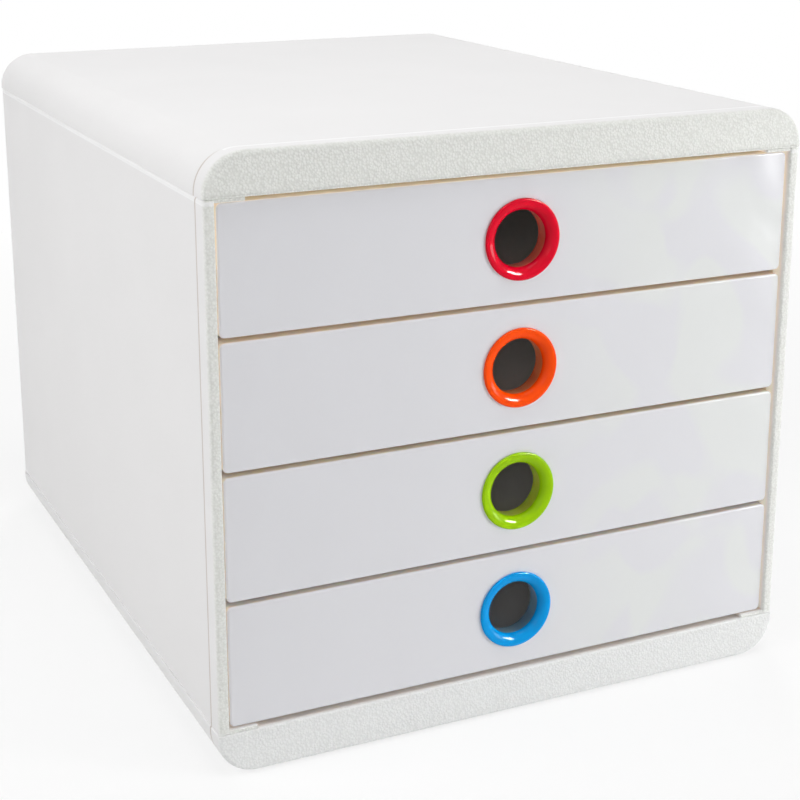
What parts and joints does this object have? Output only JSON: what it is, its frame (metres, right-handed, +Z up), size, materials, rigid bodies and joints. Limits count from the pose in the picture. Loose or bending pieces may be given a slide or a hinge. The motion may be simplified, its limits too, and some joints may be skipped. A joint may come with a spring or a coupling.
{
  "type": "plastic drawer tower",
  "caption": "Low desktop drawer cabinet in white moulded plastic with rounded long edges, glossy sliding drawers and a coloured flared finger ring in each drawer front.",
  "frame": {"origin": "on the floor under the middle of the cabinet, midway between its sides and between its front and back faces", "axes": "+Y from the front face to the back face, +X to the right as seen from the front, +Z up"},
  "size_m": [0.278, 0.342, 0.2619],
  "materials": {
    "casing": "fine grained, satin",
    "drawer_tray": "smooth, satin",
    "drawer_front": "polished",
    "ring_red": "polished",
    "ring_orange": "polished",
    "ring_green": "polished",
    "ring_blue": "polished",
    "foot": "matt"
  },
  "bodies": {
    "casing": {"top_shell": "casing", "bottom_shell": "casing", "left_side_panel": "casing", "right_side_panel": "casing", "back_panel": "casing", "foot_front_left": "foot", "foot_front_right": "foot", "foot_rear_left": "foot", "foot_rear_right": "foot"},
    "drawer_1": {"drawer_tray_1": "drawer_tray", "drawer_front_1": "drawer_front", "finger_ring_1": "ring_red"},
    "drawer_2": {"drawer_tray_2": "drawer_tray", "drawer_front_2": "drawer_front", "finger_ring_2": "ring_orange"},
    "drawer_3": {"drawer_tray_3": "drawer_tray", "drawer_front_3": "drawer_front", "finger_ring_3": "ring_green"},
    "drawer_4": {"drawer_tray_4": "drawer_tray", "drawer_front_4": "drawer_front", "finger_ring_4": "ring_blue"}
  },
  "joints": [
    {"name": "drawer_1_slide", "type": "slide", "parent": "casing", "child": "drawer_1", "axis": [0, -1, 0], "range_m": [0, 0.272]},
    {"name": "drawer_2_slide", "type": "slide", "parent": "casing", "child": "drawer_2", "axis": [0, -1, 0], "range_m": [0, 0.272]},
    {"name": "drawer_3_slide", "type": "slide", "parent": "casing", "child": "drawer_3", "axis": [0, -1, 0], "range_m": [0, 0.272]},
    {"name": "drawer_4_slide", "type": "slide", "parent": "casing", "child": "drawer_4", "axis": [0, -1, 0], "range_m": [0, 0.272]}
  ]
}
